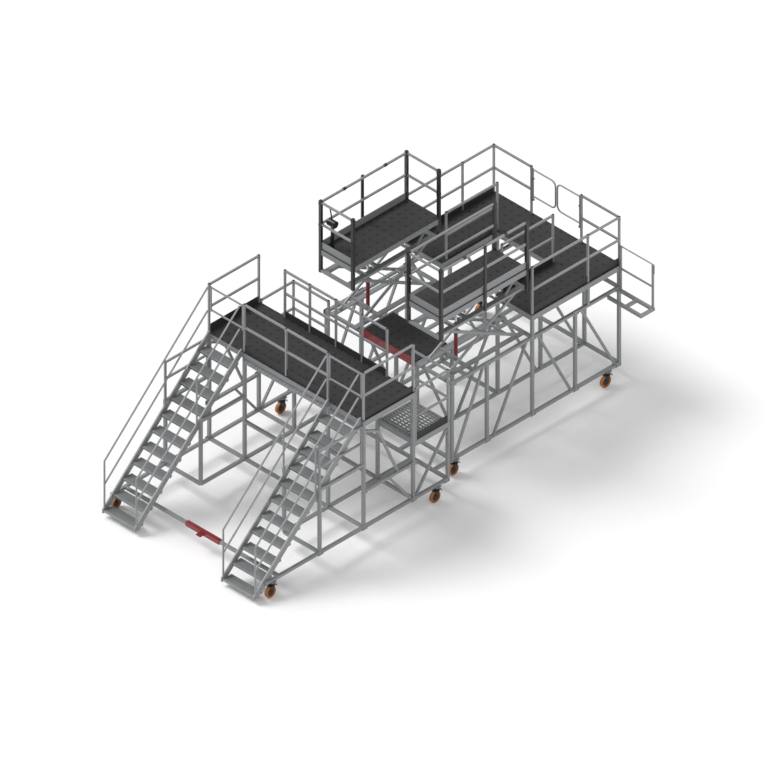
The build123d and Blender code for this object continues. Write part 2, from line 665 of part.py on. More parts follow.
for side, side_name in SIDES:
    centre = side * WING_CENTRE_X
    with BuildPart() as outer_legs:
        solids, cuts = leg_solids(centre, OUTER_LEG_X, False, (0,), OUTER_LEG_X)
        add(solids)
        add(cuts, mode=Mode.SUBTRACT)
    finish(outer_legs, f"outer_legs_{side_name}")

    with BuildPart() as inner_legs:
        solids, cuts = leg_solids(centre, INNER_LEG_X, True, (1,), 0)
        add(solids)
        add(cuts, mode=Mode.SUBTRACT)
    finish(inner_legs, f"inner_legs_{side_name}")

    # Side deck: grey beams with joists, lower frame, lugs for the inner legs
    beam_low = WING_BEAM_Z - TUBE / 2
    beam_inner = OUTER_LEG_X - LEG_WIDTH
    with BuildPart() as wing_frame:
        half = WING_HALF_WIDTH
        z = wing_under_z + DECK_BEAM / 2
        post_half = TUBE / 2
        for s in (-1, 1):
            x = centre + s * half
            add(bar((x, WING_FRONT_Y + post_half, z), (x, WING_BACK_Y - post_half, z), WING_EDGE, DECK_BEAM))
            track_x = centre + s * (OUTER_LEG_X + INNER_LEG_X) / 2
            add(
                bar(
                    (track_x, WING_FRONT_Y, WING_BEAM_Z),
                    (track_x, WING_BACK_Y, WING_BEAM_Z),
                    TRACK_WIDTH,
                    TUBE,
                )
            )
            for y0, y1 in ((WING_FRONT_Y + 500, WING_FRONT_Y + 90), (WING_BACK_Y - 500, WING_BACK_Y - 90)):
                add(bar((track_x, y0, WING_BEAM_Z), (track_x, y1, wing_under_z + 40), BRACE * 0.8))
            lug_inner = centre + s * (INNER_LEG_X - LEG_WIDTH / 2 - SIDE_CLEARANCE)
            x0, x1 = sorted((lug_inner, lug_inner - s * 10))
            add(box((x0, PIVOT_Y - 40, PIVOT_Z + LEG_RISE - 35), (x1, PIVOT_Y + 40, WING_BEAM_Z)))
            pin_end = centre + s * (INNER_LEG_X + LEG_WIDTH / 2 + 3)
            top_pivot_z = PIVOT_Z + LEG_RISE
            add(pin(min(lug_inner, pin_end), PIVOT_Y, top_pivot_z, PIN_RADIUS, abs(pin_end - lug_inner)))
        for y in (WING_FRONT_Y, WING_BACK_Y):
            add(bar((centre - half + post_half, y, z), (centre + half - post_half, y, z), WING_EDGE, DECK_BEAM))
            add(
                bar(
                    (centre - half + post_half, y, WING_BEAM_Z),
                    (centre + half - post_half, y, WING_BEAM_Z),
                    TUBE,
                )
            )
        for y in (WING_FRONT_Y + 90, 3300, 4100, WING_BACK_Y - 90):
            add(bar((centre - half, y, z), (centre + half, y, z), TUBE, DECK_BEAM))
        add(
            bar((centre - beam_inner, CYLINDER_Y, WING_BEAM_Z), (centre + beam_inner, CYLINDER_Y, WING_BEAM_Z), TUBE)
        )
    finish(wing_frame, f"wing_frame_{side_name}")

    with BuildPart() as wing_posts:
        for x in (centre - half, centre + half):
            for y in (WING_FRONT_Y, WING_BACK_Y):
                add(bar((x, y, beam_low - 16), (x, y, WING_DECK_Z + RAIL_HEIGHT), TUBE))
        add(bar((side * (WING_CENTRE_X + half + WING_EDGE / 2 + 15), 3720, wing_under_z - 260),
                (side * (WING_CENTRE_X + half + WING_EDGE / 2 + 15), 3720, WING_DECK_Z + RAIL_HEIGHT), 30, TUBE))
    finish(wing_posts, f"wing_posts_{side_name}")

    with BuildPart() as wing_sheet:
        inset = WING_EDGE / 2
        add(
            box(
                (centre - half + post_half, WING_FRONT_Y - inset, WING_DECK_Z - DECK_SHEET),
                (centre + half - post_half, WING_BACK_Y + inset, WING_DECK_Z),
            )
        )
        add(
            box(
                (centre - half - inset, WING_FRONT_Y + post_half, WING_DECK_Z - DECK_SHEET),
                (centre + half + inset, WING_BACK_Y - post_half, WING_DECK_Z),
            )
        )
    finish(wing_sheet, f"wing_sheet_{side_name}")

    # Side deck rails: from post face to post face, the left deck is open on its inner side
    with BuildPart() as wing_rails:
        post_face = TUBE / 2
        open_inner = side < 0
        for height in (RAIL_HEIGHT - RAIL, MID_RAIL_HEIGHT):
            z = WING_DECK_Z + height
            for s in (-1, 1):
                if open_inner and s == 1:
                    continue
                x = centre + s * half
                add(bar((x, WING_FRONT_Y + post_face, z), (x, WING_BACK_Y - post_face, z), RAIL))
            ends = (WING_FRONT_Y, WING_BACK_Y) if open_inner else (WING_FRONT_Y,)
            for y in ends:
                add(bar((centre - half + post_face, y, z), (centre + half - post_face, y, z), RAIL))
        toe_z = WING_DECK_Z + TOE_HEIGHT / 2
        add(
            bar(
                (centre - half + post_face, WING_FRONT_Y, toe_z),
                (centre + half - post_face, WING_FRONT_Y, toe_z),
                TOE_THICKNESS,
                TOE_HEIGHT,
            )
        )
        outer = centre + side * half
        add(
            bar(
                (outer, WING_FRONT_Y + post_face, toe_z),
                (outer, WING_BACK_Y - post_face, toe_z),
                TOE_THICKNESS,
                TOE_HEIGHT,
            )
        )
    finish(wing_rails, f"wing_rails_{side_name}")

    with BuildPart() as lift_rod:
        with BuildSketch(Plane((centre, CYLINDER_Y, ROD_FOOT_Z))):
            Circle(ROD_RADIUS)
        extrude(amount=beam_low - ROD_FOOT_Z)
    finish(lift_rod, f"lift_rod_{side_name}")

# Hand pump on the left side deck: stand, body and lever
PUMP_X, PUMP_Y = -WING_CENTRE_X - 290.0, WING_FRONT_Y + 170.0
with BuildPart() as hand_pump:
    add(box((PUMP_X - 25, PUMP_Y - 25, WING_DECK_Z), (PUMP_X + 25, PUMP_Y + 25, WING_DECK_Z + 520)))
    with BuildSketch(Plane.YZ.offset(PUMP_X - 90)):
        with Locations((PUMP_Y, WING_DECK_Z + 560)):
            Circle(75)
    extrude(amount=180)
    lever = [(PUMP_X, PUMP_Y, WING_DECK_Z + 560), (PUMP_X - 40, PUMP_Y - 20, WING_DECK_Z + 900)]
    add(round_bar(lever, 14))
finish(hand_pump, "hand_pump")

# Casters: a fork that swivels under each plate, and its wheel
# Places: name, x, y of the swivel axis
CASTERS = (
    ("front_left", -side_x, -2420.0),
    ("front_right", side_x, -2420.0),
    ("centre_left", -side_x, 2000.0),
    ("centre_right", side_x, 2000.0),
    ("mid_left", -rear_side_x, 2880.0),
    ("mid_right", rear_side_x, 2880.0),
    ("rear_left", -rear_side_x, 6970.0),
    ("rear_right", rear_side_x, 6970.0),
)
plate_low_z = CHORD_Z - TUBE / 2 - CASTER_PLATE
with BuildPart() as caster_plates_front:
    for _, x, y in CASTERS[:4]:
        corner = Vector(x, y, plate_low_z)
        half_plate = Vector(CASTER_PLATE_HALF, CASTER_PLATE_HALF, 0)
        add(box(corner - half_plate, corner + half_plate + Vector(0, 0, CASTER_PLATE)))
with BuildPart() as caster_plates_rear:
    for _, x, y in CASTERS[4:]:
        corner = Vector(x, y, plate_low_z)
        half_plate = Vector(CASTER_PLATE_HALF, CASTER_PLATE_HALF, 0)
        add(box(corner - half_plate, corner + half_plate + Vector(0, 0, CASTER_PLATE)))

crown_low_z = 2 * WHEEL_RADIUS + FORK_GAP
for caster_name, x, y in CASTERS:
    axle_y = y - CASTER_TRAIL
    with BuildPart() as fork:
        with Locations((x, y, (plate_low_z - SLIDE_GAP + crown_low_z + FORK_PLATE) / 2)):
            Cylinder(36, plate_low_z - SLIDE_GAP - crown_low_z - FORK_PLATE)
        add(box((x - crown_half, axle_y - 30, crown_low_z), (x + crown_half, y + 40, crown_low_z + FORK_PLATE)))
        for s in (-1, 1):
            start = x + (fork_half if s > 0 else -crown_half)
            with BuildSketch(Plane.YZ.offset(start)) as cheek:
                with BuildLine():
                    Polyline(
                        (axle_y - 28, WHEEL_RADIUS),
                        (axle_y - 30, crown_low_z + FORK_PLATE),
                        (y + 40, crown_low_z + FORK_PLATE),
                        (axle_y + 28, WHEEL_RADIUS),
                    )
                    ThreePointArc(
                        (axle_y + 28, WHEEL_RADIUS), (axle_y, WHEEL_RADIUS - 28), (axle_y - 28, WHEEL_RADIUS)
                    )
                make_face()
            extrude(amount=FORK_PLATE)
        with BuildSketch(Plane.YZ.offset(x - crown_half)) as axle:
            with Locations((axle_y, WHEEL_RADIUS)):
                Circle(AXLE_RADIUS)
        extrude(amount=2 * crown_half)
    finish(fork, f"caster_fork_{caster_name}")

    # Half profile of the wheel, turned round the axle: distance from its middle, radius
    with BuildPart() as wheel:
        with BuildSketch(Plane(origin=(x, axle_y, WHEEL_RADIUS), x_dir=(1, 0, 0), z_dir=(0, 1, 0))):
            with BuildLine():
                half_width = WHEEL_WIDTH / 2
                bore = AXLE_RADIUS + AXLE_CLEARANCE
                Polyline(
                    (-half_width, bore),
                    (half_width, bore),
                    (half_width, bore + 20),
                    (half_width - 14, bore + 24),
                    (half_width - 14, WHEEL_RADIUS - 30),
                    (half_width, WHEEL_RADIUS - 24),
                    (half_width, WHEEL_RADIUS - 8),
                    (half_width - 8, WHEEL_RADIUS),
                    (-half_width + 8, WHEEL_RADIUS),
                    (-half_width, WHEEL_RADIUS - 8),
                    (-half_width, WHEEL_RADIUS - 24),
                    (-half_width + 14, WHEEL_RADIUS - 30),
                    (-half_width + 14, bore + 24),
                    (-half_width, bore + 20),
                    close=True,
                )
            make_face()
        revolve(axis=Axis((x, axle_y, WHEEL_RADIUS), (1, 0, 0)))
    finish(wheel, f"caster_wheel_{caster_name}")

# Loop gates across the rear opening, hung on the gate posts
gate_hinge_x = GATE_POST_X - RAIL / 2 - GATE_RADIUS - 6
gate_low_z, gate_high_z = REAR_DECK_Z + 420, REAR_DECK_Z + 1040
for side, side_name in SIDES:
    with BuildPart() as rear_gate:
        hinge = side * gate_hinge_x
        tip = side * 25
        loop = [
            (hinge, rear_edge_y, gate_high_z),
            (tip, rear_edge_y, gate_high_z),
            (tip, rear_edge_y, gate_low_z),
            (hinge, rear_edge_y, gate_low_z),
        ]
        add(round_bar(loop, GATE_RADIUS, GATE_CORNER))
        foot_z, head_z = gate_low_z - 100, gate_high_z + GATE_RADIUS + 5
        add(round_bar([(hinge, rear_edge_y, foot_z), (hinge, rear_edge_y, head_z)], GATE_RADIUS + 1))
    finish(rear_gate, f"rear_gate_{side_name}")

# Swing gates at the head of each stair, hung on the inner guard posts
stair_gate_hinge_x = INNER_POST_X + RAIL / 2 + GATE_RADIUS + 6
stair_gate_tip_x = edge_x - RAIL / 2 - GATE_RADIUS - 12
for side, side_name in SIDES:
    with BuildPart() as stair_gate:
        hinge, tip = side * stair_gate_hinge_x, side * stair_gate_tip_x
        low_z, high_z = FRONT_DECK_Z + 520, FRONT_DECK_Z + 1040
        for z in (low_z, high_z):
            add(bar((hinge, guard_inset, z), (tip, guard_inset, z), GATE_RADIUS * 1.6))
        for gate_x in (hinge, tip):
            add(bar((gate_x, guard_inset, low_z - 40), (gate_x, guard_inset, high_z + 20), GATE_RADIUS * 1.8))
    finish(stair_gate, f"stair_gate_{side_name}")

# What carries the gates: collars round the rear hinge tubes, lugs under and over the stair gates' bars
with BuildPart() as gate_hinges:
    for side, _ in SIDES:
        x0, x1 = sorted((side * (GATE_POST_X - RAIL / 2), side * (gate_hinge_x - GATE_RADIUS - 10)))
        for z in (gate_low_z - 88, gate_low_z + 400):
            add(box((x0, rear_edge_y - 24, z), (x1, rear_edge_y + 24, z + GATE_LUG)))
            with Locations((side * gate_hinge_x, rear_edge_y, z + GATE_LUG / 2)):
                Cylinder(GATE_RADIUS + 1.5, GATE_LUG + 2, mode=Mode.SUBTRACT)
        x0, x1 = sorted((side * (INNER_POST_X + RAIL / 2), side * (stair_gate_hinge_x + 12)))
        for z in (FRONT_DECK_Z + 520 - 40 - SLIDE_GAP - GATE_LUG, FRONT_DECK_Z + 1040 + 20 + SLIDE_GAP):
            add(box((x0, guard_inset - 15, z), (x1, guard_inset + 15, z + GATE_LUG)))

# Sliding extension of the front deck, in guides under the deck beams
slat_half = INNER_POST_X - TUBE / 2 - GUIDE_WALL - 10
guide_low_z = deck_under_z - GUIDE_LIP - SLAT_THICKNESS - 12
EXTENSION_FRONT_Y, EXTENSION_DEPTH = -70.0, 640.0


def slats(across_x, low, high, top_z):
    """A tray of grooved slats between two corners, as loose solids and grooves to cut."""
    body = box((low[0], low[1], top_z - SLAT_THICKNESS), (high[0], high[1], top_z))
    span = high[0] - low[0] if across_x else high[1] - low[1]
    count = int(span // SLAT_PITCH)
    grooves = []
    for i in range(1, count):
        at = (low[0] if across_x else low[1]) + i * span / count
        if across_x:
            corners = (at - SLAT_GROOVE / 2, low[1] - 1), (at + SLAT_GROOVE / 2, high[1] + 1)
        else:
            corners = (low[0] - 1, at - SLAT_GROOVE / 2), (high[0] + 1, at + SLAT_GROOVE / 2)
        grooves.append(
            box((*corners[0], top_z - SLAT_GROOVE_DEPTH), (*corners[1], top_z + 1))
        )
    return body, grooves


slat_top_z = guide_low_z + GUIDE_LIP + SLIDE_GAP + SLAT_THICKNESS
with BuildPart() as front_guides:
    for s in (-1, 1):
        wall = sorted((s * (slat_half + 5), s * (slat_half + 5 + GUIDE_WALL)))
        lip = sorted((s * (slat_half - 20), s * (slat_half + 5 + GUIDE_WALL)))
        back = EXTENSION_FRONT_Y + EXTENSION_DEPTH
        add(box((wall[0], 2, guide_low_z), (wall[1], back, deck_under_z)))
        add(box((lip[0], 2, guide_low_z), (lip[1], back, guide_low_z + GUIDE_LIP)))

with BuildPart() as front_extension:
    body, grooves = slats(
        True,
        (-slat_half, EXTENSION_FRONT_Y),
        (slat_half, EXTENSION_FRONT_Y + EXTENSION_DEPTH),
        slat_top_z,
    )
    add(body)
    add(grooves, mode=Mode.SUBTRACT)
finish(front_extension, "front_extension")

# Sliding extensions of the rear deck, one on each inner edge
rear_guide_low_z = rear_under_z - GUIDE_LIP - SLAT_THICKNESS - 12
rear_slat_top_z = rear_guide_low_z + GUIDE_LIP + SLIDE_GAP + SLAT_THICKNESS
REAR_SLAT_LOW_Y, REAR_SLAT_HIGH_Y, REAR_SLAT_DEPTH = 5035.0, 6360.0, 560.0
with BuildPart() as rear_guides:
    for side, _ in SIDES:
        x0, x1 = sorted((side * (INNER_FRAME_X - TUBE / 2), side * (INNER_FRAME_X + REAR_SLAT_DEPTH)))
        for edge, s in ((REAR_SLAT_LOW_Y, -1), (REAR_SLAT_HIGH_Y, 1)):
            wall = sorted((edge + s * 5, edge + s * (5 + GUIDE_WALL)))
            lip = sorted((edge - s * 20, edge + s * (5 + GUIDE_WALL)))
            add(box((x0, wall[0], rear_guide_low_z), (x1, wall[1], rear_under_z)))
            add(box((x0, lip[0], rear_guide_low_z), (x1, lip[1], rear_guide_low_z + GUIDE_LIP)))

for side, side_name in SIDES:
    with BuildPart() as rear_extension:
        x0, x1 = sorted(
            (side * (INNER_FRAME_X - TUBE / 2 - 25), side * (INNER_FRAME_X - TUBE / 2 - 25 + REAR_SLAT_DEPTH))
        )
        body, grooves = slats(False, (x0, REAR_SLAT_LOW_Y), (x1, REAR_SLAT_HIGH_Y), rear_slat_top_z)
        add(body)
        add(grooves, mode=Mode.SUBTRACT)
    finish(rear_extension, f"rear_extension_{side_name}")

# Nodes made of several pieces of the fixed body
together("front_frame", front_frame, front_cross_tubes, landing_frames, caster_plates_front)
together("rear_frame", rear_frame, mid_deck_frame, caster_plates_rear)
together("deck_frames", front_deck_frame, rear_deck_frame)
together("deck_sheets", front_deck_sheet, rear_deck_sheet, mid_deck_sheet)
together("guard_rails", front_guard, landing_guard, stair_side_rails, rear_guard, gate_hinges)
together("toe_boards", front_toe_boards, rear_toe_boards, landing_toe_boards)
together("extension_guides", front_guides, rear_guides)
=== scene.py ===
"""Aircraft maintenance platform: finishes, small fittings, floor, lights and camera round the frame."""
import json
import logging
from dataclasses import dataclass, field
from enum import Enum
from math import pi

import bmesh
import bpy
import numpy as np
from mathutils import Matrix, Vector


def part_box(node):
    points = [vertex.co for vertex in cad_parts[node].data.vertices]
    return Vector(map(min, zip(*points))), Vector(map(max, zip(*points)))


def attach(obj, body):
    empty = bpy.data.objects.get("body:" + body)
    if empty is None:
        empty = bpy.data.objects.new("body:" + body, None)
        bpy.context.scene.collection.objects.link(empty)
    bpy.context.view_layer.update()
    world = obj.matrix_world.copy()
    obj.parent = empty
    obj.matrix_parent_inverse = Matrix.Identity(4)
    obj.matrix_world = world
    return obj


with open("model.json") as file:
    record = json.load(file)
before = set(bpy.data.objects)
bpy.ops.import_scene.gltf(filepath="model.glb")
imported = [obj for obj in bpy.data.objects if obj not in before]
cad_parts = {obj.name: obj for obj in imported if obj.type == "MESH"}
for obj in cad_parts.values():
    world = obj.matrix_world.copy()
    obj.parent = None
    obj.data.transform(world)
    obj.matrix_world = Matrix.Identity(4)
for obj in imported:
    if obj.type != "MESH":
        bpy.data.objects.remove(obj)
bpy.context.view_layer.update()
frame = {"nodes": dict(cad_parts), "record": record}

LOG = logging.getLogger("platform")
PLATFORM = "platform"
BOTH = (-1, 1)
SIDES = ((-1, "left"), (1, "right"))

Triple = tuple[float, float, float]
Mesh = tuple[np.ndarray, np.ndarray]

# Directions of the eight corners of a block, and the corners of its six faces, wound outwards
CORNERS = np.array(np.meshgrid(BOTH, BOTH, BOTH, indexing="ij")).reshape(3, -1).T
BLOCK_FACES = np.array(
    [[0, 1, 3, 2], [4, 6, 7, 5], [0, 4, 5, 1], [2, 3, 7, 6], [0, 2, 6, 4], [1, 5, 7, 3]]
)

# Steps round a hexagon head, a disc and a smooth ring
HEXAGON = 6
DISC = 24
SMOOTH_RING = 32

MILL_GREY = (0.27, 0.275, 0.28)
CHARCOAL = (0.021, 0.021, 0.023)

# Wear noise: its detail, and the value that it swings about
NOISE_DETAIL = 5.0
NOISE_MIDDLE = 0.5

# Share of a hole's radius where its soft edge starts
HOLE_EDGE = 0.85


class Axis(Enum):
    """The axis that a turned piece goes round."""

    X = 0
    Z = 2


class Slot(Enum):
    """The record's material slots."""

    ALUMINIUM = "aluminium"
    DECK = "deck"
    BLACK = "black"
    RED = "red"
    CHROME = "chrome"
    TREAD = "tread"
    CASTER_STEEL = "caster_steel"
    TYRE = "tyre"


@dataclass(frozen=True)
class Finish:
    """One surface finish, with wear that varies its colour and roughness.

    Args:
        name: the material's name.
        colour: linear base colour.
        metallic: 0 for paint and plastic, 1 for bare metal.
        roughness: mean roughness.
        wear: how strongly the noise changes the colour.
        grain: size of the noise, in repeats to the metre.
        coat: weight of the clear coat.
    """

    name: str
    colour: Triple
    metallic: float
    roughness: float
    wear: float = 0.1
    grain: float = 6.0
    coat: float = 0.0

    def material(self) -> bpy.types.Material:
        """Makes the material.

        Returns:
            A material whose base colour and roughness come from the shared wear group.
        """
        made = bpy.data.materials.new(self.name)
        made.use_nodes = True
        tree = made.node_tree
        shader = tree.nodes["Principled BSDF"]
        shader.inputs["Metallic"].default_value = self.metallic
        shader.inputs["Coat Weight"].default_value = self.coat
        worn = self.worn(tree)
        tree.links.new(worn.outputs["Colour"], shader.inputs["Base Color"])
        tree.links.new(worn.outputs["Roughness"], shader.inputs["Roughness"])
        return made

    def worn(self, tree: bpy.types.NodeTree) -> bpy.types.Node:
        """Adds the wear group to a material.

        Args:
            tree: the material's node tree.

        Returns:
            The group node, with this finish's values.
        """
        place = tree.nodes.new("ShaderNodeTexCoord")
        worn = tree.nodes.new("ShaderNodeGroup")
        worn.node_tree = wear_group()
        worn.inputs["Base"].default_value = (*self.colour, 1.0)
        worn.inputs["Wear"].default_value = self.wear
        worn.inputs["Grain"].default_value = self.grain
        worn.inputs["Roughness"].default_value = self.roughness
        tree.links.new(place.outputs["Object"], worn.inputs["Place"])
        return worn


@dataclass(frozen=True)
class PerforatedFinish(Finish):
    """A sheet finish with a square grid of small holes, filled with near-black painted shade.

    Args:
        spacing: distance between holes, in metres.
        radius: radius of a hole, in metres.
        painted_hole_shade: linear colour inside a hole, a painted shade for the dark seen through the
            opening.
        dip_strength: how strongly the surface dips in a hole.
        dip_depth: depth of the dip, in metres.
    """

    spacing: float = 0.12
    radius: float = 0.012
    # Painted shade: the near-black inside each hole stands in for the shade seen through the opening
    painted_hole_shade: Triple = (0.002, 0.002, 0.002)
    dip_strength: float = 0.6
    dip_depth: float = 0.003

    def material(self) -> bpy.types.Material:
        """Makes the material.

        Returns:
            A material whose colour darkens with painted shade in the holes and whose surface dips there.
        """
        made = Finish.material(self)
        tree = made.node_tree
        shader = tree.nodes["Principled BSDF"]
        place = tree.nodes.new("ShaderNodeTexCoord")
        holes = tree.nodes.new("ShaderNodeGroup")
        holes.node_tree = hole_group()
        holes.inputs["Spacing"].default_value = self.spacing
        holes.inputs["Radius"].default_value = self.radius
        # Painted shade: the hole mask mixes the near-black hole shade into the sheet's colour
        hole_shade_mix = tree.nodes.new("ShaderNodeMix")
        hole_shade_mix.data_type = "RGBA"
        hole_shade_mix.inputs["B"].default_value = (*self.painted_hole_shade, 1.0)
        dip = tree.nodes.new("ShaderNodeBump")
        dip.invert = True
        dip.inputs["Strength"].default_value = self.dip_strength
        dip.inputs["Distance"].default_value = self.dip_depth
        link = tree.links.new
        link(place.outputs["Object"], holes.inputs["Place"])
        link(shader.inputs["Base Color"].links[0].from_socket, hole_shade_mix.inputs["A"])
        link(holes.outputs["Hole"], hole_shade_mix.inputs["Factor"])
        link(hole_shade_mix.outputs["Result"], shader.inputs["Base Color"])
        link(holes.outputs["Hole"], dip.inputs["Height"])
        link(dip.outputs["Normal"], shader.inputs["Normal"])
        return made


def new_group(name: str, inputs: dict[str, str], outputs: dict[str, str]) -> bpy.types.NodeTree:
    """Makes an empty shader node group with named sockets.

    Args:
        name: the group's name.
        inputs: socket types by input name.
        outputs: socket types by output name.

    Returns:
        The group, with its input and output nodes in place.
    """
    group = bpy.data.node_groups.new(name, "ShaderNodeTree")
    for in_out, sockets in (("INPUT", inputs), ("OUTPUT", outputs)):
        for socket, kind in sockets.items():
            group.interface.new_socket(name=socket, in_out=in_out, socket_type=kind)
    group.nodes.new("NodeGroupInput")
    group.nodes.new("NodeGroupOutput")
    return group


def wear_group() -> bpy.types.NodeTree:
    """Gives the shared wear group, in which noise scales the base colour and shifts the roughness.

    Returns:
        The node group, made at the first call.
    """
    name = "handling wear"
    if name in bpy.data.node_groups:
        return bpy.data.node_groups[name]
    group = new_group(
        name,
        {
            "Place": "NodeSocketVector",
            "Base": "NodeSocketColor",
            "Wear": "NodeSocketFloat",
            "Grain": "NodeSocketFloat",
            "Roughness": "NodeSocketFloat",
        },
        {"Colour": "NodeSocketColor", "Roughness": "NodeSocketFloat"},
    )
    source, result = group.nodes["Group Input"], group.nodes["Group Output"]
    noise = group.nodes.new("ShaderNodeTexNoise")
    noise.inputs["Detail"].default_value = NOISE_DETAIL
    swing = group.nodes.new("ShaderNodeMath")
    swing.operation = "SUBTRACT"
    swing.inputs[1].default_value = NOISE_MIDDLE
    scaled = group.nodes.new("ShaderNodeMath")
    scaled.operation = "MULTIPLY"
    factor = group.nodes.new("ShaderNodeMath")
    factor.operation = "ADD"
    factor.inputs[1].default_value = 1.0
    tint = group.nodes.new("ShaderNodeVectorMath")
    tint.operation = "SCALE"
    rough = group.nodes.new("ShaderNodeMath")
    rough.operation = "ADD"
    rough.use_clamp = True
    link = group.links.new
    link(source.outputs["Place"], noise.inputs["Vector"])
    link(source.outputs["Grain"], noise.inputs["Scale"])
    link(noise.outputs["Fac"], swing.inputs[0])
    link(swing.outputs[0], scaled.inputs[0])
    link(source.outputs["Wear"], scaled.inputs[1])
    link(scaled.outputs[0], factor.inputs[0])
    link(source.outputs["Base"], tint.inputs[0])
    link(factor.outputs[0], tint.inputs["Scale"])
    link(scaled.outputs[0], rough.inputs[0])
    link(source.outputs["Roughness"], rough.inputs[1])
    link(tint.outputs[0], result.inputs["Colour"])
    link(rough.outputs[0], result.inputs["Roughness"])
    return group


def hole_group() -> bpy.types.NodeTree:
    """Gives the shared hole group: the distance to the middle of a square cell, set against a radius.

    Returns:
        The node group, made at the first call.
    """
    name = "round hole grid"
    if name in bpy.data.node_groups:
        return bpy.data.node_groups[name]
    group = new_group(
        name,
        {"Place": "NodeSocketVector", "Spacing": "NodeSocketFloat", "Radius": "NodeSocketFloat"},
        {"Hole": "NodeSocketFloat"},
    )
    source, result = group.nodes["Group Input"], group.nodes["Group Output"]
    cell_middle, flat = (0.5, 0.5, 0.5), (1.0, 1.0, 0.0)
    steps = {}
    for operation in ("DIVIDE", "FRACTION", "SUBTRACT", "MULTIPLY", "LENGTH"):
        steps[operation] = group.nodes.new("ShaderNodeVectorMath")
        steps[operation].operation = operation
    steps["SUBTRACT"].inputs[1].default_value = cell_middle
    steps["MULTIPLY"].inputs[1].default_value = flat
    size = group.nodes.new("ShaderNodeMath")
    size.operation = "MULTIPLY"
    edge = group.nodes.new("ShaderNodeMapRange")
    edge.inputs["To Min"].default_value = 1.0
    edge.inputs["To Max"].default_value = 0.0
    inner = group.nodes.new("ShaderNodeMath")
    inner.operation = "MULTIPLY"
    inner.inputs[1].default_value = HOLE_EDGE
    link = group.links.new
    link(source.outputs["Place"], steps["DIVIDE"].inputs[0])
    link(source.outputs["Spacing"], steps["DIVIDE"].inputs[1])
    link(steps["DIVIDE"].outputs[0], steps["FRACTION"].inputs[0])
    link(steps["FRACTION"].outputs[0], steps["SUBTRACT"].inputs[0])
    link(steps["SUBTRACT"].outputs[0], steps["MULTIPLY"].inputs[0])
    link(steps["MULTIPLY"].outputs[0], steps["LENGTH"].inputs[0])
    link(steps["LENGTH"].outputs["Value"], size.inputs[0])
    link(source.outputs["Spacing"], size.inputs[1])
    link(source.outputs["Radius"], inner.inputs[0])
    link(size.outputs[0], edge.inputs["Value"])
    link(inner.outputs[0], edge.inputs["From Min"])
    link(source.outputs["Radius"], edge.inputs["From Max"])
    link(edge.outputs["Result"], result.inputs["Hole"])
    return group


FINISHES = {
    Slot.ALUMINIUM: Finish("mill aluminium", MILL_GREY, metallic=0.35, roughness=0.55, wear=0.22, grain=9.0),
    Slot.DECK: PerforatedFinish(
        "charcoal deck sheet",
        CHARCOAL,
        metallic=0.0,
        roughness=0.6,
        wear=0.3,
        grain=3.0,
        spacing=0.19,
        radius=0.033,
    ),
    Slot.BLACK: Finish(
        "satin black paint",
        (0.012, 0.012, 0.013),
        metallic=0.0,
        roughness=0.4,
        wear=0.2,
        grain=12.0,
        coat=0.15,
    ),
    Slot.RED: Finish(
        "dark red paint",
        (0.20, 0.010, 0.014),
        metallic=0.0,
        roughness=0.35,
        wear=0.25,
        grain=8.0,
        coat=0.3,
    ),
    Slot.CHROME: Finish("chromed rod", (0.8, 0.8, 0.8), metallic=1.0, roughness=0.1, wear=0.02),
    Slot.TREAD: PerforatedFinish(
        "perforated tread",
        MILL_GREY,
        metallic=0.5,
        roughness=0.5,
        wear=0.2,
        grain=10.0,
        spacing=0.042,
        radius=0.009,
    ),
    Slot.CASTER_STEEL: Finish(
        "caster steel", (0.030, 0.030, 0.030), metallic=0.4, roughness=0.45, wear=0.2, grain=20.0
    ),
    Slot.TYRE: Finish(
        "orange-brown wheel", (0.33, 0.115, 0.020), metallic=0.0, roughness=0.5, wear=0.2, grain=25.0
    ),
}

TOE_BOARD_FINISH = Finish("charcoal toe board", CHARCOAL, metallic=0.0, roughness=0.6, wear=0.3, grain=3.0)


def blocks(centres: np.ndarray, size: Triple) -> Mesh:
    """Many equal blocks: each corner is a centre plus half the size times a triple of signs.

    Args:
        centres: one row for each block.
        size: the length of a block along X, Y and Z.

    Returns:
        The vertices and the faces.
    """
    points = centres[:, None, :] + CORNERS[None] * np.array(size) / 2
    faces = BLOCK_FACES[None] + np.arange(len(centres))[:, None, None] * len(CORNERS)
    return points.reshape(-1, 3), faces.reshape(-1, 4)


def turned(profile: np.ndarray, centres: np.ndarray, axis: Axis, segments: int) -> Mesh:
    """Many equal rings: each point is a distance along the axis and a radius turned by an angle about it.

    Args:
        profile: rows of distance along the axis and radius, a closed loop.
        centres: one row for each ring.
        axis: the axis that the profile goes round.
        segments: steps round the axis.

    Returns:
        The vertices and the faces.
    """
    angle = np.arange(segments) * 2 * pi / segments
    along = np.broadcast_to(profile[None, :, 0], (segments, len(profile)))
    one, two = np.cos(angle)[:, None] * profile[:, 1], np.sin(angle)[:, None] * profile[:, 1]
    grid = np.roll(np.stack([along, one, two], axis=-1), axis.value, axis=-1)
    count = len(profile)
    step, place = np.meshgrid(np.arange(segments), np.arange(count), indexing="ij")
    after, ahead = (step + 1) % segments, (place + 1) % count
    quads = np.stack(
        [step * count + place, after * count + place, after * count + ahead, step * count + ahead], axis=-1
    ).reshape(-1, 4)
    points = centres[:, None, :] + grid.reshape(1, -1, 3)
    faces = quads[None] + np.arange(len(centres))[:, None, None] * segments * count
    return points.reshape(-1, 3), faces.reshape(-1, 4)


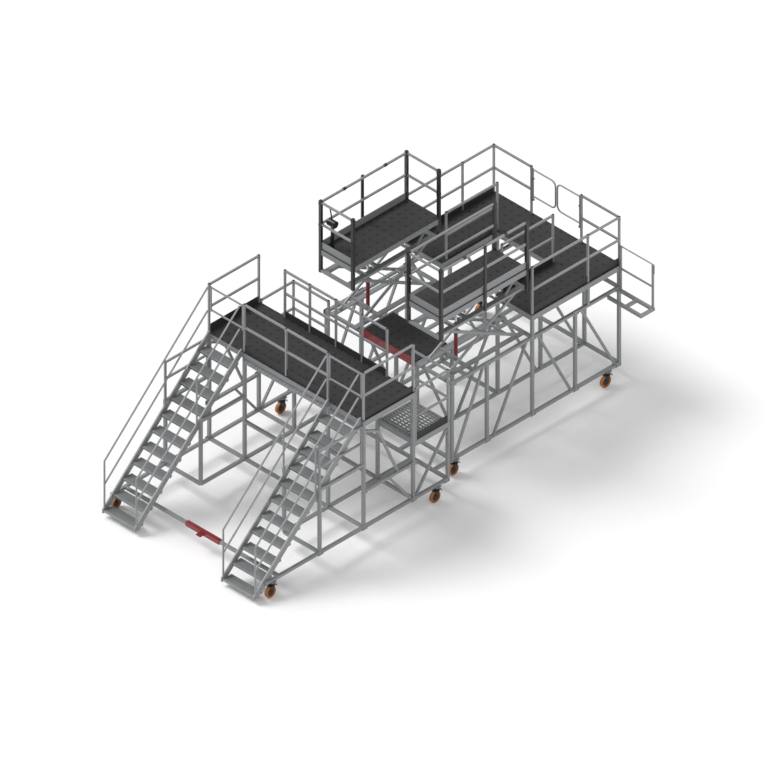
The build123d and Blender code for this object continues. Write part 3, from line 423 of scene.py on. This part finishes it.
def bent_strip(path: np.ndarray, thickness: float, width: float, centre_x: float) -> Mesh:
    """A strip bent along a path in the YZ plane: the section is carried along it, square to its tangent.

    Args:
        path: rows of Y and Z.
        thickness: thickness of the strip.
        width: width along X.
        centre_x: middle of the strip along X.

    Returns:
        The vertices and the faces.
    """
    tangent = np.gradient(path, axis=0)
    tangent /= np.linalg.norm(tangent, axis=1)[:, None]
    normal = np.stack([-tangent[:, 1], tangent[:, 0]], axis=1)
    section = np.array([[-1, -1], [1, -1], [1, 1], [-1, 1]]) / 2
    count = len(section)
    flat = path[:, None, :] + normal[:, None, :] * (section[None, :, 1, None] * thickness)
    across = centre_x + np.broadcast_to(section[:, 0] * width, flat.shape[:2])
    points = np.concatenate([across[..., None], flat], axis=-1).reshape(-1, 3)
    step, corner = np.meshgrid(np.arange(len(path) - 1), np.arange(count), indexing="ij")
    here, after, ahead = step * count, step * count + count, (corner + 1) % count
    sides = np.stack([here + corner, here + ahead, after + ahead, after + corner], axis=-1)
    last = len(points) - count
    caps = np.array([[0, 1, 2, 3], [last, last + 3, last + 2, last + 1]])
    return points, np.concatenate([sides.reshape(-1, count), caps])


def joined(meshes: list[Mesh]) -> Mesh:
    """Joins meshes into one: each face's numbers move up by the vertices that come before its mesh.

    Args:
        meshes: the vertices and faces of each mesh.

    Returns:
        The vertices and the faces.
    """
    points = [mesh[0] for mesh in meshes]
    before = np.cumsum([0] + [len(rows) for rows in points[:-1]])
    faces = [mesh[1] + shift for mesh, shift in zip(meshes, before)]
    return np.concatenate(points), np.concatenate(faces)


def washer(radius: float, bore: float, thickness: float, crown: float = 0.25) -> np.ndarray:
    """The closed profile of a ring with a chamfered edge, from its foot outwards.

    Args:
        radius: outer radius.
        bore: inner radius.
        thickness: length along the axis.
        crown: share of the thickness that the chamfer takes.

    Returns:
        Rows of distance along the axis and radius.
    """
    cut = thickness * crown
    rim = [[thickness - cut, radius], [thickness, radius - cut]]
    return np.array([[0, bore], [0, radius], *rim, [thickness, bore]])


def frame_bolt(length: float, radius: float = 0.011, bore: float = 0.002) -> np.ndarray:
    """The profile of a bolt through a frame: a washer moved back by half its length.

    Args:
        length: length along the axis.
        radius: radius to a corner of the hexagon.
        bore: radius of the small hole along its middle.

    Returns:
        Rows of distance from the bolt's middle along the axis and radius.
    """
    profile = washer(radius, bore, length)
    profile[:, 0] -= length / 2
    return profile


@dataclass
class Fittings:
    """What every sub-assembly shares: the places in the frame and the making of its pieces.

    Args:
        materials: the finished materials by slot.
        centre_x: the centre plane of the platform.
        front_y: the front edge of the front deck.
        made: the names of the pieces made so far.
    """

    materials: dict[Slot, bpy.types.Material]
    centre_x: float
    front_y: float
    made: list[str] = field(default_factory=list)

    def at(self, places: list[Triple]) -> np.ndarray:
        """Turns distances from the centre plane, the front edge and the floor into places."""
        return np.array(places, float) + (self.centre_x, self.front_y, 0.0)

    def put(self, name: str, mesh: Mesh, slot: Slot, body: str) -> None:
        """Makes one piece, at the origin, that rides on a body.

        Args:
            name: the piece's name.
            mesh: its vertices and faces.
            slot: the slot whose finish it takes.
            body: the body that it moves with.
        """
        data = bpy.data.meshes.new(name)
        data.from_pydata(mesh[0].tolist(), [], mesh[1].tolist())
        shell = bmesh.new()
        shell.from_mesh(data)
        bmesh.ops.recalc_face_normals(shell, faces=shell.faces)
        shell.to_mesh(data)
        shell.free()
        data.materials.append(self.materials[slot])
        piece = bpy.data.objects.new(name, data)
        bpy.context.scene.collection.objects.link(piece)
        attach(piece, body)
        self.made.append(name)
        LOG.info("%s: %d faces on %s", name, len(data.polygons), body)


@dataclass
class Stairs:
    """Grip bars, nosings and bolts of the two stairs."""

    kit: Fittings
    treads: int = 11
    going: float = 0.255
    first_y: float = -2.870
    first_z: float = 0.170
    deck_z: float = 2.860
    low_x: float = 1.180
    high_x: float = 2.010
    depth: float = 0.245
    bars_across: int = 13
    bars_deep: int = 4
    bar_size: Triple = (0.03, 0.008, 0.005)
    bar_lift: float = 0.0008
    bar_margin: float = 0.05
    back_margin: float = 0.02
    nosing_depth: float = 0.028
    nosing_height: float = 0.006
    nosing_back: float = 0.013
    nosing_lift: float = 0.001
    bolt_faces: tuple[float, float] = (1.150, 2.010)
    bolt_backs: tuple[float, float] = (0.06, 0.18)
    bolt_drop: float = 0.02
    bolt_length: float = 0.008

    def tread_fronts(self) -> list[tuple[float, float]]:
        """Gives the Y and Z of each tread's front edge."""
        rise = (self.deck_z - self.first_z) / self.treads
        return [(self.first_y + i * self.going, self.first_z + i * rise) for i in range(self.treads)]

    def build(self) -> None:
        """Puts the grip bars and nosings on the treads and the bolts on the stringers."""
        columns = np.linspace(self.low_x + self.bar_margin, self.high_x - self.bar_margin, self.bars_across)
        rows = np.linspace(self.bar_margin, self.depth - self.back_margin, self.bars_deep)
        middle = (self.low_x + self.high_x) / 2
        bars, nosings, bolts = [], [], []
        for side in BOTH:
            for y, z in self.tread_fronts():
                bars += [(side * x, y + row, z + self.bar_lift) for x in columns for row in rows]
                nosings.append((side * middle, y + self.nosing_back, z + self.nosing_lift))
                for face in self.bolt_faces:
                    bolts += [(side * face, y + back, z - self.bolt_drop) for back in self.bolt_backs]
        grip_bars = blocks(self.kit.at(bars), self.bar_size)
        self.kit.put("tread_grip_bars", grip_bars, Slot.ALUMINIUM, PLATFORM)
        nosing_size = (self.high_x - self.low_x, self.nosing_depth, self.nosing_height)
        self.kit.put("tread_nosings", blocks(self.kit.at(nosings), nosing_size), Slot.ALUMINIUM, PLATFORM)
        heads = turned(frame_bolt(self.bolt_length), self.kit.at(bolts), Axis.X, HEXAGON)
        self.kit.put("stringer_bolts", heads, Slot.CASTER_STEEL, PLATFORM)


@dataclass
class GuardRails:
    """Caps and joint sleeves of the guard posts.

    Rows and spots give the posts' places: a row has one Y and many X, a spot is X and Y on each side.
    """

    kit: Fittings
    deck_top: float = 3.960
    landing_top: float = 2.900
    rear_top: float = 3.770
    side_x: float = 2.073
    front_row_y: float = 0.027
    front_row: tuple[float, ...] = (-1.12, 0.0, 1.12)
    back_row_y: float = 1.363
    back_row: tuple[float, ...] = (-1.37, -0.7, 0.0, 0.7, 1.37)
    landing_spots: tuple[tuple[float, float], ...] = ((2.073, 1.419), (2.073, 2.293), (1.13, 2.293))
    rear_spots: tuple[tuple[float, float], ...] = (
        (1.683, 4.947),
        (1.683, 6.44),
        (1.683, 7.283),
        (0.67, 7.283),
        (0.747, 5.067),
        (0.747, 6.44),
    )
    cap: float = 0.040
    cap_rise: float = 0.006
    sleeve: float = 0.043
    sleeve_height: float = 0.055
    rail: float = 0.038

    def front(self) -> list[Triple]:
        """Gives the posts of the front deck and the landings.

        Returns:
            The middle of each post's top.
        """
        ends = (self.front_row_y, self.back_row_y)
        places = [(s * self.side_x, y, self.deck_top) for s in BOTH for y in ends]
        places += [(x, self.front_row_y, self.deck_top) for x in self.front_row]
        places += [(x, self.back_row_y, self.deck_top) for x in self.back_row]
        places += [(s * x, y, self.landing_top) for s in BOTH for x, y in self.landing_spots]
        return places

    def rear(self) -> list[Triple]:
        """Gives the middle of the top of each post on the rear deck."""
        return [(s * x, y, self.rear_top) for s in BOTH for x, y in self.rear_spots]

    def build(self) -> None:
        """Puts a black cap on each post and a sleeve where its top rail joins."""
        tops = self.kit.at(self.front() + self.rear())
        caps = blocks(tops + (0, 0, self.cap_rise / 2), (self.cap, self.cap, self.cap_rise))
        self.kit.put("guard_post_caps", caps, Slot.BLACK, PLATFORM)
        middles = tops - (0, 0, self.rail + self.sleeve_height / 2)
        sleeves = blocks(middles, (self.sleeve, self.sleeve, self.sleeve_height))
        self.kit.put("guard_rail_sleeves", sleeves, Slot.ALUMINIUM, PLATFORM)


@dataclass
class Trusses:
    """Joint plates and bolts on the outer faces of the side frames."""

    kit: Fittings
    front_face: float = 2.100
    rear_face: float = 1.710
    low_z: float = 0.37
    front_high_z: float = 1.20
    rear_high_z: float = 2.13
    front_low_row: tuple[float, ...] = (-1.15, 0.03, 1.36, 2.24)
    front_high_row: tuple[float, ...] = (0.03, 1.36)
    rear_row: tuple[float, ...] = (2.81, 3.73, 4.95, 6.10, 7.23)
    plate: Triple = (0.004, 0.15, 0.10)
    bolt_reach: float = 0.05
    bolt_length: float = 0.016

    def joints(self) -> list[Triple]:
        """Gives the joints that have a plate.

        Returns:
            The middle of each joint on its frame's outer face.
        """
        places = [(self.front_face, y, self.low_z) for y in self.front_low_row]
        places += [(self.front_face, y, self.front_high_z) for y in self.front_high_row]
        places += [(self.rear_face, y, z) for y in self.rear_row for z in (self.low_z, self.rear_high_z)]
        return [(s * x, y, z) for s in BOTH for x, y, z in places]

    def build(self) -> None:
        """Puts a plate with two bolts on each joint."""
        middles = np.array(self.joints())
        outward = np.sign(middles[:, :1]) * np.array([[1.0, 0, 0]])
        centres = middles + outward * self.plate[0] / 2
        plates = blocks(self.kit.at(centres.tolist()), self.plate)
        self.kit.put("truss_joint_plates", plates, Slot.ALUMINIUM, PLATFORM)
        spots = np.concatenate([centres + (0, s * self.bolt_reach, 0) for s in BOTH])
        bolts = turned(frame_bolt(self.bolt_length), self.kit.at(spots.tolist()), Axis.X, HEXAGON)
        self.kit.put("truss_joint_bolts", bolts, Slot.CASTER_STEEL, PLATFORM)


@dataclass
class Caster:
    """One caster: hub discs on the wheel, a brake pedal on the fork and bolts on the plate."""

    kit: Fittings
    name: str
    swivel: tuple[float, float]
    trail: float = 0.055
    wheel_radius: float = 0.125
    hub_radius: float = 0.078
    hub_bore: float = 0.012
    hub_thickness: float = 0.006
    hub_reach: float = 0.021
    nut_radius: float = 0.016
    nut_bore: float = 0.004
    nut_thickness: float = 0.007
    nut_reach: float = 0.049
    crown_z: float = 0.264
    pedal_thickness: float = 0.005
    pedal_width: float = 0.05
    pedal_start: float = 0.05
    pedal_flat: float = 0.05
    pedal_bend: float = 0.05
    pedal_turn: float = pi / 2.4
    pedal_steps: int = 12
    pedal_tip: tuple[float, float] = (0.02, -0.045)
    pedal_lift: float = 0.003
    plate_z: float = 0.328
    plate_bolt_radius: float = 0.009
    plate_bolt_bore: float = 0.002
    plate_bolt_length: float = 0.007
    plate_bolt_crown: float = 0.1
    plate_bolt_reach: float = 0.047
    plate_bolt_drop: float = 0.006

    def on_axle(self, ring: np.ndarray, reach: float, segments: int) -> Mesh:
        """Turns a ring round the axle on each side of the wheel, facing outwards.

        Args:
            ring: the ring's profile.
            reach: distance from the wheel's middle to the ring's foot.
            segments: steps round the axle.

        Returns:
            The vertices and the faces of both rings.
        """
        x, y = self.swivel
        axle = self.kit.at([(x, y - self.trail, self.wheel_radius)])
        profiles = [np.column_stack([side * (ring[:, 0] + reach), ring[:, 1]]) for side in BOTH]
        return joined([turned(profile, axle, Axis.X, segments) for profile in profiles])

    def pedal_path(self) -> np.ndarray:
        """Gives the brake pedal's line: flat, then an arc down, then a straight tip.

        Returns:
            Rows of Y and Z.
        """
        turn = np.linspace(0, self.pedal_turn, self.pedal_steps)
        arc = np.stack([np.sin(turn), np.cos(turn) - 1], axis=1) * self.pedal_bend
        path = np.concatenate([[[-self.pedal_flat, 0.0]], arc, arc[-1:] + [self.pedal_tip]])
        start_y = self.kit.front_y + self.swivel[1] + self.pedal_start
        return path + (start_y, self.crown_z + self.pedal_lift)

    def build(self) -> None:
        """Dresses the wheel, the fork and the plate."""
        x, y = self.swivel
        fork, wheel = f"caster_fork_{self.name}", f"caster_wheel_{self.name}"
        disc = washer(self.hub_radius, self.hub_bore, self.hub_thickness)
        discs = self.on_axle(disc, self.hub_reach, DISC)
        self.kit.put(f"wheel_hub_{self.name}", discs, Slot.CASTER_STEEL, wheel)
        nut = washer(self.nut_radius, self.nut_bore, self.nut_thickness)
        nuts = self.on_axle(nut, self.nut_reach, HEXAGON)
        self.kit.put(f"axle_nuts_{self.name}", nuts, Slot.CASTER_STEEL, fork)
        pedal = bent_strip(self.pedal_path(), self.pedal_thickness, self.pedal_width, self.kit.centre_x + x)
        self.kit.put(f"brake_pedal_{self.name}", pedal, Slot.RED, fork)
        reach, height = self.plate_bolt_reach, self.plate_z - self.plate_bolt_drop
        corners = [(x + a * reach, y + b * reach, height) for a in BOTH for b in BOTH]
        head = washer(
            self.plate_bolt_radius, self.plate_bolt_bore, self.plate_bolt_length, self.plate_bolt_crown
        )
        bolts = turned(head, self.kit.at(corners), Axis.Z, HEXAGON)
        self.kit.put(f"plate_bolts_{self.name}", bolts, Slot.CHROME, PLATFORM)


@dataclass
class SideDeck:
    """One lifting side deck: clamps and caps on its posts, and the cylinder's gland."""

    kit: Fittings
    side: int
    name: str
    middle: float = 1.181
    half: float = 0.433
    ends: tuple[float, float] = (2.567, 4.870)
    deck_z: float = 3.750
    rail_height: float = 1.100
    clamp_heights: tuple[float, float] = (0.54, 1.04)
    clamp_size: Triple = (0.068, 0.068, 0.05)
    cap_size: Triple = (0.062, 0.062, 0.006)
    cylinder_y: float = 3.400
    barrel_top: float = 2.770
    gland_radius: float = 0.044
    gland_bore: float = 0.028
    gland_length: float = 0.03
    gland_sunk: float = 0.028

    def build(self) -> None:
        """Puts clamps at the rails, caps on the posts and a gland on the barrel."""
        body = f"wing_{self.name}"
        corners = [(self.side * self.middle + s * self.half, y) for s in BOTH for y in self.ends]
        levels = [self.deck_z + height for height in self.clamp_heights]
        clamps = self.kit.at([(x, y, z) for x, y in corners for z in levels])
        self.kit.put(f"post_clamps_{self.name}", blocks(clamps, self.clamp_size), Slot.BLACK, body)
        cap_z = self.deck_z + self.rail_height + self.cap_size[2] / 2
        caps = self.kit.at([(x, y, cap_z) for x, y in corners])
        self.kit.put(f"post_caps_{self.name}", blocks(caps, self.cap_size), Slot.BLACK, body)
        ring = washer(self.gland_radius, self.gland_bore, self.gland_length)
        foot = self.kit.at([(self.side * self.middle, self.cylinder_y, self.barrel_top - self.gland_sunk)])
        gland = turned(ring, foot, Axis.Z, SMOOTH_RING)
        self.kit.put(f"cylinder_gland_{self.name}", gland, Slot.BLACK, PLATFORM)


@dataclass
class Gates:
    """Black rings at the collars of the rear gates and black pads at the lugs of the stair gates."""

    kit: Fittings
    rear_x: float = 0.628
    rear_y: float = 7.283
    rear_levels: tuple[float, float] = (3.001, 3.489)
    ring_radius: float = 0.030
    ring_bore: float = 0.0192
    ring_height: float = 0.014
    stair_x: float = 1.150
    stair_y: float = 0.027
    stair_levels: tuple[float, float] = (3.3337, 3.9263)
    pad_size: Triple = (0.026, 0.034, 0.010)

    def build(self) -> None:
        """Puts the rings on the collars and the pads on the lugs."""
        collars = [(s * self.rear_x, self.rear_y, z) for s in BOTH for z in self.rear_levels]
        ring = washer(self.ring_radius, self.ring_bore, self.ring_height)
        rings = turned(ring, self.kit.at(collars), Axis.Z, SMOOTH_RING)
        self.kit.put("rear_gate_rings", rings, Slot.BLACK, PLATFORM)
        lugs = [(s * self.stair_x, self.stair_y, z) for s in BOTH for z in self.stair_levels]
        self.kit.put("stair_gate_pads", blocks(self.kit.at(lugs), self.pad_size), Slot.BLACK, PLATFORM)


@dataclass
class RailClamps:
    """Black clamps where two lengths of rail join on a side deck."""

    kit: Fittings
    side: int
    name: str
    outer_x: float = 1.614
    rail_z: float = 4.812
    joints: tuple[float, ...] = (3.20, 4.30)
    size: Triple = (0.046, 0.075, 0.046)

    def build(self) -> None:
        """Puts a clamp on the outer top rail at each joint."""
        places = self.kit.at([(self.side * self.outer_x, y, self.rail_z) for y in self.joints])
        self.kit.put(f"rail_clamps_{self.name}", blocks(places, self.size), Slot.BLACK, f"wing_{self.name}")


@dataclass(frozen=True)
class Sun:
    """One soft sun lamp.

    Args:
        name: the lamp's name.
        strength: its light on a surface that faces it.
        towards: the direction in which it shines.
        spread: the sun's angle in radians, which softens the shadows.
    """

    name: str
    strength: float
    towards: Triple
    spread: float

    def build(self) -> None:
        """Makes the lamp."""
        lamp = bpy.data.lights.new(self.name, "SUN")
        lamp.energy, lamp.angle = self.strength, self.spread
        light = bpy.data.objects.new(self.name, lamp)
        light.rotation_euler = Vector(self.towards).to_track_quat("-Z", "Y").to_euler()
        bpy.context.scene.collection.objects.link(light)


@dataclass
class Studio:
    """Floor, lights and camera at the photograph's angle."""

    target: Triple = (0.1905, -0.0125, 1.8)
    view_from: Triple = (1, -1, 1)
    distance: float = 30.0
    width: float = 14.58
    clip_end: float = 200.0
    floor_half: float = 60.0
    floor_grey: float = 0.9
    floor_roughness: float = 0.9
    sky_strength: float = 0.62
    suns: tuple[Sun, ...] = (
        Sun("key sun", 2.2, (0.75, 0.35, -1.0), 0.5),
        Sun("side sun", 0.5, (-0.8, 0.6, -0.5), 0.6),
    )

    def floor(self) -> None:
        """Makes the pale floor."""
        data = bpy.data.meshes.new("studio_floor")
        half = self.floor_half
        corners = [(-half, -half, 0), (half, -half, 0), (half, half, 0), (-half, half, 0)]
        data.from_pydata(corners, [], [(0, 1, 2, 3)])
        pale = bpy.data.materials.new("pale floor")
        pale.use_nodes = True
        shader = pale.node_tree.nodes["Principled BSDF"]
        shader.inputs["Base Color"].default_value = (self.floor_grey, self.floor_grey, self.floor_grey, 1)
        shader.inputs["Roughness"].default_value = self.floor_roughness
        data.materials.append(pale)
        floor = bpy.data.objects.new("studio_floor", data)
        bpy.context.scene.collection.objects.link(floor)

    def sky(self) -> None:
        """Makes the even white light from all round."""
        scene = bpy.context.scene
        scene.world = scene.world or bpy.data.worlds.new("studio world")
        scene.world.use_nodes = True
        background = scene.world.node_tree.nodes["Background"]
        background.inputs["Color"].default_value = (1, 1, 1, 1)
        background.inputs["Strength"].default_value = self.sky_strength

    def camera(self) -> None:
        """Makes the camera, which sees without perspective."""
        lens = bpy.data.cameras.new("isometric camera")
        lens.type, lens.ortho_scale, lens.clip_end = "ORTHO", self.width, self.clip_end
        camera = bpy.data.objects.new("isometric camera", lens)
        back = Vector(self.view_from).normalized()
        camera.location = Vector(self.target) + back * self.distance
        camera.rotation_euler = (-back).to_track_quat("-Z", "Y").to_euler()
        bpy.context.scene.collection.objects.link(camera)
        bpy.context.scene.camera = camera

    def build(self) -> None:
        """Makes the floor, the lights and the camera, and shows the colours as they are."""
        self.floor()
        self.sky()
        for sun in self.suns:
            sun.build()
        self.camera()
        bpy.context.scene.view_settings.view_transform = "Standard"


# X and Y of each caster's swivel, from the centre plane and the front deck's front edge
CASTER_PLACES = {
    "front_left": (-2.07, -2.42),
    "front_right": (2.07, -2.42),
    "centre_left": (-2.07, 2.0),
    "centre_right": (2.07, 2.0),
    "mid_left": (-1.68, 2.88),
    "mid_right": (1.68, 2.88),
    "rear_left": (-1.68, 6.97),
    "rear_right": (1.68, 6.97),
}


def dress_nodes(materials: dict[Slot, bpy.types.Material]) -> None:
    """Gives each CAD node the material of its slot, and the toe boards a sheet without holes.

    Args:
        materials: the finished materials by slot.
    """
    slots = {row["node"]: row["material_slot"] for row in frame["record"]["subparts"]}
    unholed = {"toe_boards": TOE_BOARD_FINISH.material()}
    for name, node in frame["nodes"].items():
        node.data.materials.clear()
        node.data.materials.append(unholed.get(name) or materials[Slot(slots[name])])


def main() -> None:
    """Builds the finishes, the fittings and the studio."""
    logging.basicConfig(level=logging.INFO, format="%(name)s %(message)s")
    materials = {slot: finish.material() for slot, finish in FINISHES.items()}
    dress_nodes(materials)
    low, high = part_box("rear_frame")
    kit = Fittings(materials, (low.x + high.x) / 2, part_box("deck_sheets")[0].y)
    parts = [Stairs(kit), GuardRails(kit), Trusses(kit)]
    parts += [Caster(kit, name, place) for name, place in CASTER_PLACES.items()]
    parts += [made(kit, side, name) for side, name in SIDES for made in (SideDeck, RailClamps)]
    parts.append(Gates(kit))
    for part in parts:
        part.build()
    LOG.info("%d fittings made", len(kit.made))
    Studio().build()


if __name__ == "__main__":
    main()
